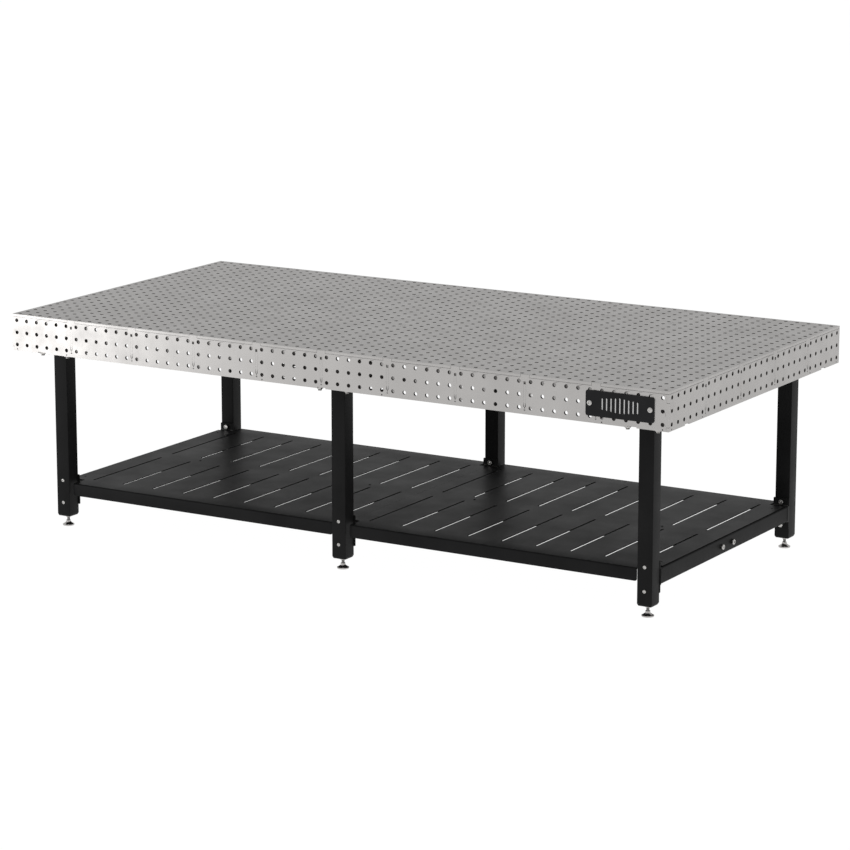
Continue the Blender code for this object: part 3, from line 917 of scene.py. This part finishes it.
def make_leg(way, word):
    x = ENDS[word] * LEG_X
    y = SIDES[way] * LEG_Y
    node = f"leg_{way}_{word}"
    low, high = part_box(node)
    head = high.z - PLATE
    foot = low.z
    floor = foot + FOOT_PLATE
    count = 4 * (TUBE_STEPS + 1)
    hole = []
    for i in range(count):
        angle = 2 * math.pi * (i + 0.5) / count
        hole.append((FOOT_HOLE * math.cos(angle), FOOT_HOLE * math.sin(angle)))
    levels = [(0.0052, foot), (0.0042, foot + 0.0004), (0.0010, foot + 0.0068), (0.0, foot + 0.0095)]
    levels += [(0.0, head), (LEG_WALL, head), (LEG_WALL, floor)]
    rings = [[(x + u, y + v, z) for u, v in tube_ring(shrink, LEG_CORNER)] for shrink, z in levels]
    rings += [[(x + u, y + v, z) for u, v in hole] for z in (floor, foot)]
    rings_piece(f"leg_tube_{way}_{word}", rings, LEG_COAT, 38, True, ROOT, [node])
    flat = Flat()
    flat.filled(rounded(FLANGE_HALF, FLANGE_HALF, 0.006, 5, (x, y)), flange_holes(x, y))
    slab(f"leg_flange_{way}_{word}", flat, "XY", high.z, 1, PLATE, LEG_COAT)
    bead = weld_ring(walk_round(TUBE / 2, LEG_CORNER), 0.0062, x + y)
    turned = [[(x + u, y + v, head - w) for u, v, w in made] for made in bead]
    rings_piece(f"leg_weld_{way}_{word}", turned, WELD, 60, True)


def make_foot(way, word):
    x = ENDS[word] * LEG_X
    y = SIDES[way] * LEG_Y
    where = f"{way}_{word}"
    pad = f"foot_pad_{where}"
    low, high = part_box(pad)
    top = high.z
    radius = (high.x - low.x) / 2
    profile = [
        (0.0002, 0.0076), (STEM + 0.0009, 0.0076), (STEM + 0.0009, top - 0.0006), (STEM + 0.0015, top),
        (0.0094, top), (0.0099, top - 0.0006), (0.0100, 0.0168), (0.0106, 0.0150), (0.0128, 0.0128),
        (0.0172, 0.0094), (0.0212, 0.0068), (0.0228, 0.0060), (0.0240, 0.0056), (radius, 0.0050),
        (radius, 0.0012), (radius - 0.0006, 0.0003), (radius - 0.0016, 0.0), (0.0002, 0.0),
    ]
    rings = [[(x + a, y + b, c) for a, b, c in made] for made in spin(profile, 48)]
    rings_piece(f"pad_{where}", rings[::-1], PAD_ZINC, 30, False, f"pad_{where}", [pad])
    stem = f"foot_stem_{where}"
    low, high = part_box(stem)
    thread = thread_rings(STEM, low.z, high.z, 24, 7)
    thread = [[(x + a, y + b, c) for a, b, c in made] for made in thread]
    thread.append([(x, y, high.z)] * 24)
    rings_piece(f"stem_{where}", thread, STEM_ZINC, 60, False, f"stem_{where}", [stem])
    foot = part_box(f"leg_{where}")[0].z
    parts = [(hex_nut_rings(NUT_HEX, 0.0078, STEM + 0.0002, -0.0080), True)]
    fastener(f"lock_nut_{where}", parts, (x, y, foot), (0, 0, 1), spin_by=0.4 + 0.7 * x + 0.3 * y)


# ---------------------------------------------------------------- lower frame


def beam_bracket(name, along, half_a, half_b, axis, face, side):
    """A beam's end plate with two bolt holes. along is its middle in x for "XZ", in y for "YZ"."""
    flat = Flat()
    flip = -1 if (axis == "XZ" and side > 0) or (axis == "YZ" and side < 0) else 1
    u = flip * along
    if half_b > half_a:
        bolts = [(u, BEAM_Z - LEG_BOLT), (u, BEAM_Z + LEG_BOLT)]
    else:
        bolts = [(u - LEG_BOLT, BEAM_Z), (u + LEG_BOLT, BEAM_Z)]
    flat.filled(
        rounded(half_a, half_b, BRACKET_CORNER, 5, (u, BEAM_Z)),
        [circle(a, b, BRACKET_HOLE, 20) for a, b in bolts],
    )
    slab(name, flat, axis, face, side, BRACKET, BEAM_COAT)


def make_cross_beams():
    leg_face = LEG_Y - TUBE / 2 - FIT
    inner = leg_face - BRACKET
    for word, end in ENDS.items():
        x = end * LEG_X
        rings = []
        for shrink, y in ((0, -inner), (0, inner), (BEAM_WALL, inner), (BEAM_WALL, -inner)):
            rings.append([(x + u, y, BEAM_Z + v) for u, v in tube_ring(shrink, BEAM_CORNER)][::-1])
        node = f"cross_beam_{word}"
        rings_piece(f"beam_across_{word}", rings, BEAM_COAT, 38, True, ROOT, [node])
        for way, side in SIDES.items():
            trim = OUTER_TRIM if end else 0.0
            name = f"beam_bracket_{way}_{word}"
            half_a, half_b = BRACKET_HALF
            beam_bracket(name, x - end * trim, half_a - trim, half_b, "XZ", side * leg_face, side)
            bead = weld_ring(walk_round(TUBE / 2, BEAM_CORNER), 0.0042, x + side)
            turned = [[(x + u, side * (inner - w), BEAM_Z + v) for u, v, w in made] for made in bead]
            turned = turned if side > 0 else turned[::-1]
            rings_piece(f"bracket_weld_{way}_{word}", turned, WELD, 60, True)


LONG_WELD_REACH = (-0.0338, 0.0317)  # the bead stays under the shelf sheet


def make_long_beams():
    near = TUBE / 2 + FIT
    far = LEG_X - TUBE / 2 - FIT
    for word, side in (("left", -1), ("right", 1)):
        a = near + BRACKET
        b = far - BRACKET
        rings = []
        for shrink, x in ((0, a), (0, b), (BEAM_WALL, b), (BEAM_WALL, a)):
            made = [(side * x, u, BEAM_Z + v) for u, v in tube_ring(shrink, BEAM_CORNER)]
            rings.append(made if side > 0 else made[::-1])
        node = f"long_beam_{word}"
        rings_piece(f"beam_along_{word}", rings, BEAM_COAT, 38, True, ROOT, [node])
        for which, face, out in (("inner", near, -1), ("outer", far, 1)):
            name = f"long_bracket_{word}_{which}"
            beam_bracket(name, 0.0, BRACKET_HALF[1], LONG_BRACKET_HALF, "YZ", side * face, side * out)
            bead = weld_ring(walk_round(TUBE / 2 - 0.0008, BEAM_CORNER), 0.0036, side + out)
            start = face - out * BRACKET
            lowest, highest = LONG_WELD_REACH
            turned = [
                [(side * (start - out * w), u, BEAM_Z + min(max(v, lowest), highest)) for u, v, w in made]
                for made in bead
            ]
            turned = turned if side * out < 0 else turned[::-1]
            rings_piece(f"long_weld_{word}_{which}", turned, WELD, 60, True)


# ---------------------------------------------------------------- shelf


SHELF_SCREWS = (0.254, 1.1176)
BEAM_HOLE = (1.3670, 0.4920)
BEAM_HOLE_RADIUS = 0.0045
APRON_CORNER = 0.008


def make_shelf(word, side):
    """A folded sheet: flat top with slots, a bend and an apron at the front and back."""
    low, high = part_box(f"shelf_{word}")
    top = high.z
    reach_y = high.y
    apron_low = low.z
    reach_x = max(abs(low.x), abs(high.x))
    seam = min(abs(low.x), abs(high.x))
    step = NOTCH_CLEAR
    corner = LEG_X - step
    shoulder = NOTCH_SHOULDER
    fold = reach_y - BEND
    quarter = [(seam, shoulder), (step, shoulder), (step, fold), (corner, fold)]
    quarter += [(corner, shoulder), (reach_x, shoulder)]
    outline = quarter + [(u, -v) for u, v in reversed(quarter)]
    holes = []
    for k in range(9):
        u = PITCH / 2 * (k + 0.5)
        for end in (-1, 1):
            v0, v1 = sorted((end * SLOT_REACH[0], end * SLOT_REACH[1]))
            holes.append(obround(u - SLOT_HALF, u + SLOT_HALF, v0, v1, 6))
    for end in (-1, 1):
        holes.append(circle(BEAM_HOLE[0], end * BEAM_HOLE[1], BEAM_HOLE_RADIUS, 14))
    flat = Flat()
    flat.filled(outline, holes)
    arc = BEND * math.pi / 2
    rows = [fold + arc * i / 5 for i in range(1, 6)]
    drop = fold + arc + (top - BEND - apron_low)
    for end in (-1, 1):
        last = fold
        for v in rows:
            quad = [(step, end * last), (corner, end * last), (corner, end * v), (step, end * v)]
            flat.polygon(quad if end > 0 else quad[::-1])
            last = v
        lip = [(step, end * last), (corner, end * last)]
        for quarter_turn, u in ((0, corner - APRON_CORNER), (1, step + APRON_CORNER)):
            for i in range(6):
                angle = math.pi / 2 * (quarter_turn + i / 5)
                v = drop - APRON_CORNER + APRON_CORNER * math.sin(angle)
                lip.append((u + APRON_CORNER * math.cos(angle), end * v))
        flat.polygon(lip if end > 0 else lip[::-1])

    def layer(depth):
        def place(u, v):
            end = 1 if v > 0 else -1
            s = abs(v)
            if s <= fold + 1e-7:
                return (side * u, v, top - depth)
            if s <= fold + arc + 1e-7:
                angle = (s - fold) / BEND
                r = BEND - depth
                return (side * u, end * (fold + r * math.sin(angle)), top - BEND + r * math.cos(angle))
            return (side * u, end * (reach_y - depth), top - BEND - (s - fold - arc))

        return place

    points, faces = flat.solid(layer(0.0), layer(SHEET))
    if side < 0:
        faces = [f[::-1] for f in faces]
    sheet = shown(f"shelf_sheet_{word}", points, faces, SHELF_COAT, ROOT, [f"shelf_{word}"], 50)
    # The cut walls take the darker coat, which paints the shade of the gap under the sheet's ends
    edge_faces(sheet, len(faces) - 2 * len(flat.faces), SHELF_EDGE_AND_SHADE)
    dome = [(1e-5, 0.0), (0.0052, 0.0), (0.0054, 0.0004), (0.0040, 0.0015), (0.0026, 0.0019)]
    rings = [ring(r, h) for r, h in dome]
    rings += [hex_ring(0.0030, 0.0018), hex_ring(0.0028, 0.0008), ring(1e-5, 0.0007)]
    for k, u in enumerate(SHELF_SCREWS):
        place = (side * u, 0.0, top)
        fastener(f"shelf_screw_{word}_{k}", [(rings, False)], place, (0, 0, 1), SHELF_COAT)


# ---------------------------------------------------------------- nameplate


NAME_SLOTS = 9
NAME_SLOT_PITCH = 0.0185
NAME_SLOT_HALF = 0.0032


def make_nameplate():
    """A plain black plate with a row of upright slots, and its two screws."""
    low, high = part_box("nameplate")
    face = low.y
    thick = high.y - low.y
    cx = (low.x + high.x) / 2
    cz = (low.z + high.z) / 2
    screws = []
    for word in ("left", "right"):
        a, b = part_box(f"nameplate_screw_{word}")
        screws.append((a.x + b.x) / 2)
    holes = [circle(x, cz, 0.0068, 20) for x in screws]
    for k in range(NAME_SLOTS):
        from_middle = k - (NAME_SLOTS - 1) / 2
        tall = 0.030 - 0.0020 * abs(from_middle)
        u = cx + from_middle * NAME_SLOT_PITCH
        holes.append(obround(u - NAME_SLOT_HALF, u + NAME_SLOT_HALF, cz - tall, cz + tall, 5))
    flat = Flat()
    flat.filled(rounded((high.x - low.x) / 2, (high.z - low.z) / 2, 0.010, 8, (cx, cz)), holes)
    slab("name_panel", flat, "XZ", face, -1, thick - 0.0004, PLAQUE_COAT, ROOT, ["nameplate"])
    backing = Flat()
    backing.filled(rounded(0.098, 0.040, 0.004, 4, (cx, cz)))
    slab("name_inlay", backing, "XZ", face + thick - 0.0009, -1, 0.0007, INLAY_STEEL)
    parts = [
        (button_head_rings(0.0108, 0.0046, 0.0075), False),
        ([ring(0.0060, -0.016), ring(0.0060, 0.0002)], False),
        (hex_nut_rings(0.0185, 0.0070, 0.0058, -0.0205), True),
    ]
    for word, x in zip(("left", "right"), screws):
        node = f"nameplate_screw_{word}"
        fastener(f"name_screw_{word}", parts, (x, face, cz), (0, -1, 0), BOLT_ZINC, [node], 0.4)


make_ribs()
make_mount_plates()
make_leg_bolts()
make_flange_bolts()
make_beam_bolts()
for way_word in SIDES:
    for end_word in ENDS:
        make_leg(way_word, end_word)
        make_foot(way_word, end_word)
make_cross_beams()
make_long_beams()
make_shelf("left", -1)
make_shelf("right", 1)
make_nameplate()


# ---------------------------------------------------------------- studio


FLOOR_DROP = 0.0255


def make_floor():
    """A plain pale floor, white behind the table, just under the feet when they are screwed right out."""
    mesh = bpy.data.meshes.new("floor")
    half = 60.0
    corners = [(-half, -half), (half, -half), (half, half), (-half, half)]
    mesh.from_pydata([(x, y, -FLOOR_DROP) for x, y in corners], [], [(0, 1, 2, 3)])
    floor = bpy.data.objects.new("floor", mesh)
    bpy.context.scene.collection.objects.link(floor)
    made = bpy.data.materials.new("floor_white")
    made.use_nodes = True
    shader = made.node_tree.nodes["Principled BSDF"]
    shader.inputs["Base Color"].default_value = (0.02, 0.02, 0.02, 1)
    shader.inputs["Roughness"].default_value = 0.9
    shader.inputs["Specular IOR Level"].default_value = 0.0
    shader.inputs["Emission Color"].default_value = (1, 1, 1, 1)
    shader.inputs["Emission Strength"].default_value = 1.0
    mesh.materials.append(made)


def make_world():
    """White where the camera sees it, and a little dimmer as light on the table."""
    world = bpy.data.worlds.new("studio")
    bpy.context.scene.world = world
    world.use_nodes = True
    nodes = world.node_tree.nodes
    links = world.node_tree.links
    seen = nodes["Background"]
    seen.inputs["Color"].default_value = (1, 1, 1, 1)
    seen.inputs["Strength"].default_value = 1.0
    lit = nodes.new("ShaderNodeBackground")
    lit.inputs["Color"].default_value = (1, 1, 1, 1)
    lit.inputs["Strength"].default_value = 0.72
    mix = nodes.new("ShaderNodeMixShader")
    path = nodes.new("ShaderNodeLightPath")
    links.new(path.outputs["Is Camera Ray"], mix.inputs["Fac"])
    links.new(lit.outputs["Background"], mix.inputs[1])
    links.new(seen.outputs["Background"], mix.inputs[2])
    links.new(mix.outputs["Shader"], nodes["World Output"].inputs["Surface"])


def make_light():
    """A soft panel near the front left corner, which brightens that end of the front plate."""
    light = bpy.data.lights.new("key_left", "AREA")
    light.shape = "RECTANGLE"
    light.size, light.size_y = 1.0, 0.8
    light.energy = 21.2
    obj = bpy.data.objects.new("key_left", light)
    place = Vector((-3.5, -3.1, 0.50))
    target = Vector((-1.7, -0.76, 0.83))
    obj.location = place
    obj.rotation_euler = (target - place).to_track_quat("-Z", "Y").to_euler()
    bpy.context.scene.collection.objects.link(obj)


def make_camera():
    data = bpy.data.cameras.new("camera")
    data.sensor_width = 36.0
    data.lens = 139.98
    data.clip_end = 200.0
    camera = bpy.data.objects.new("camera", data)
    bpy.context.scene.collection.objects.link(camera)
    azimuth = math.radians(31.092)
    rise = math.radians(12.470)
    back = Vector((math.sin(azimuth) * math.cos(rise), -math.cos(azimuth) * math.cos(rise), math.sin(rise)))
    camera.location = (6.8973, -11.4114, HEIGHT + 2.5061)
    camera.rotation_euler = (-back).to_track_quat("-Z", "Y").to_euler()
    bpy.context.scene.camera = camera


make_floor()
make_world()
make_light()
make_camera()
bpy.context.scene.view_settings.view_transform = "Standard"

bpy.context.view_layer.update()
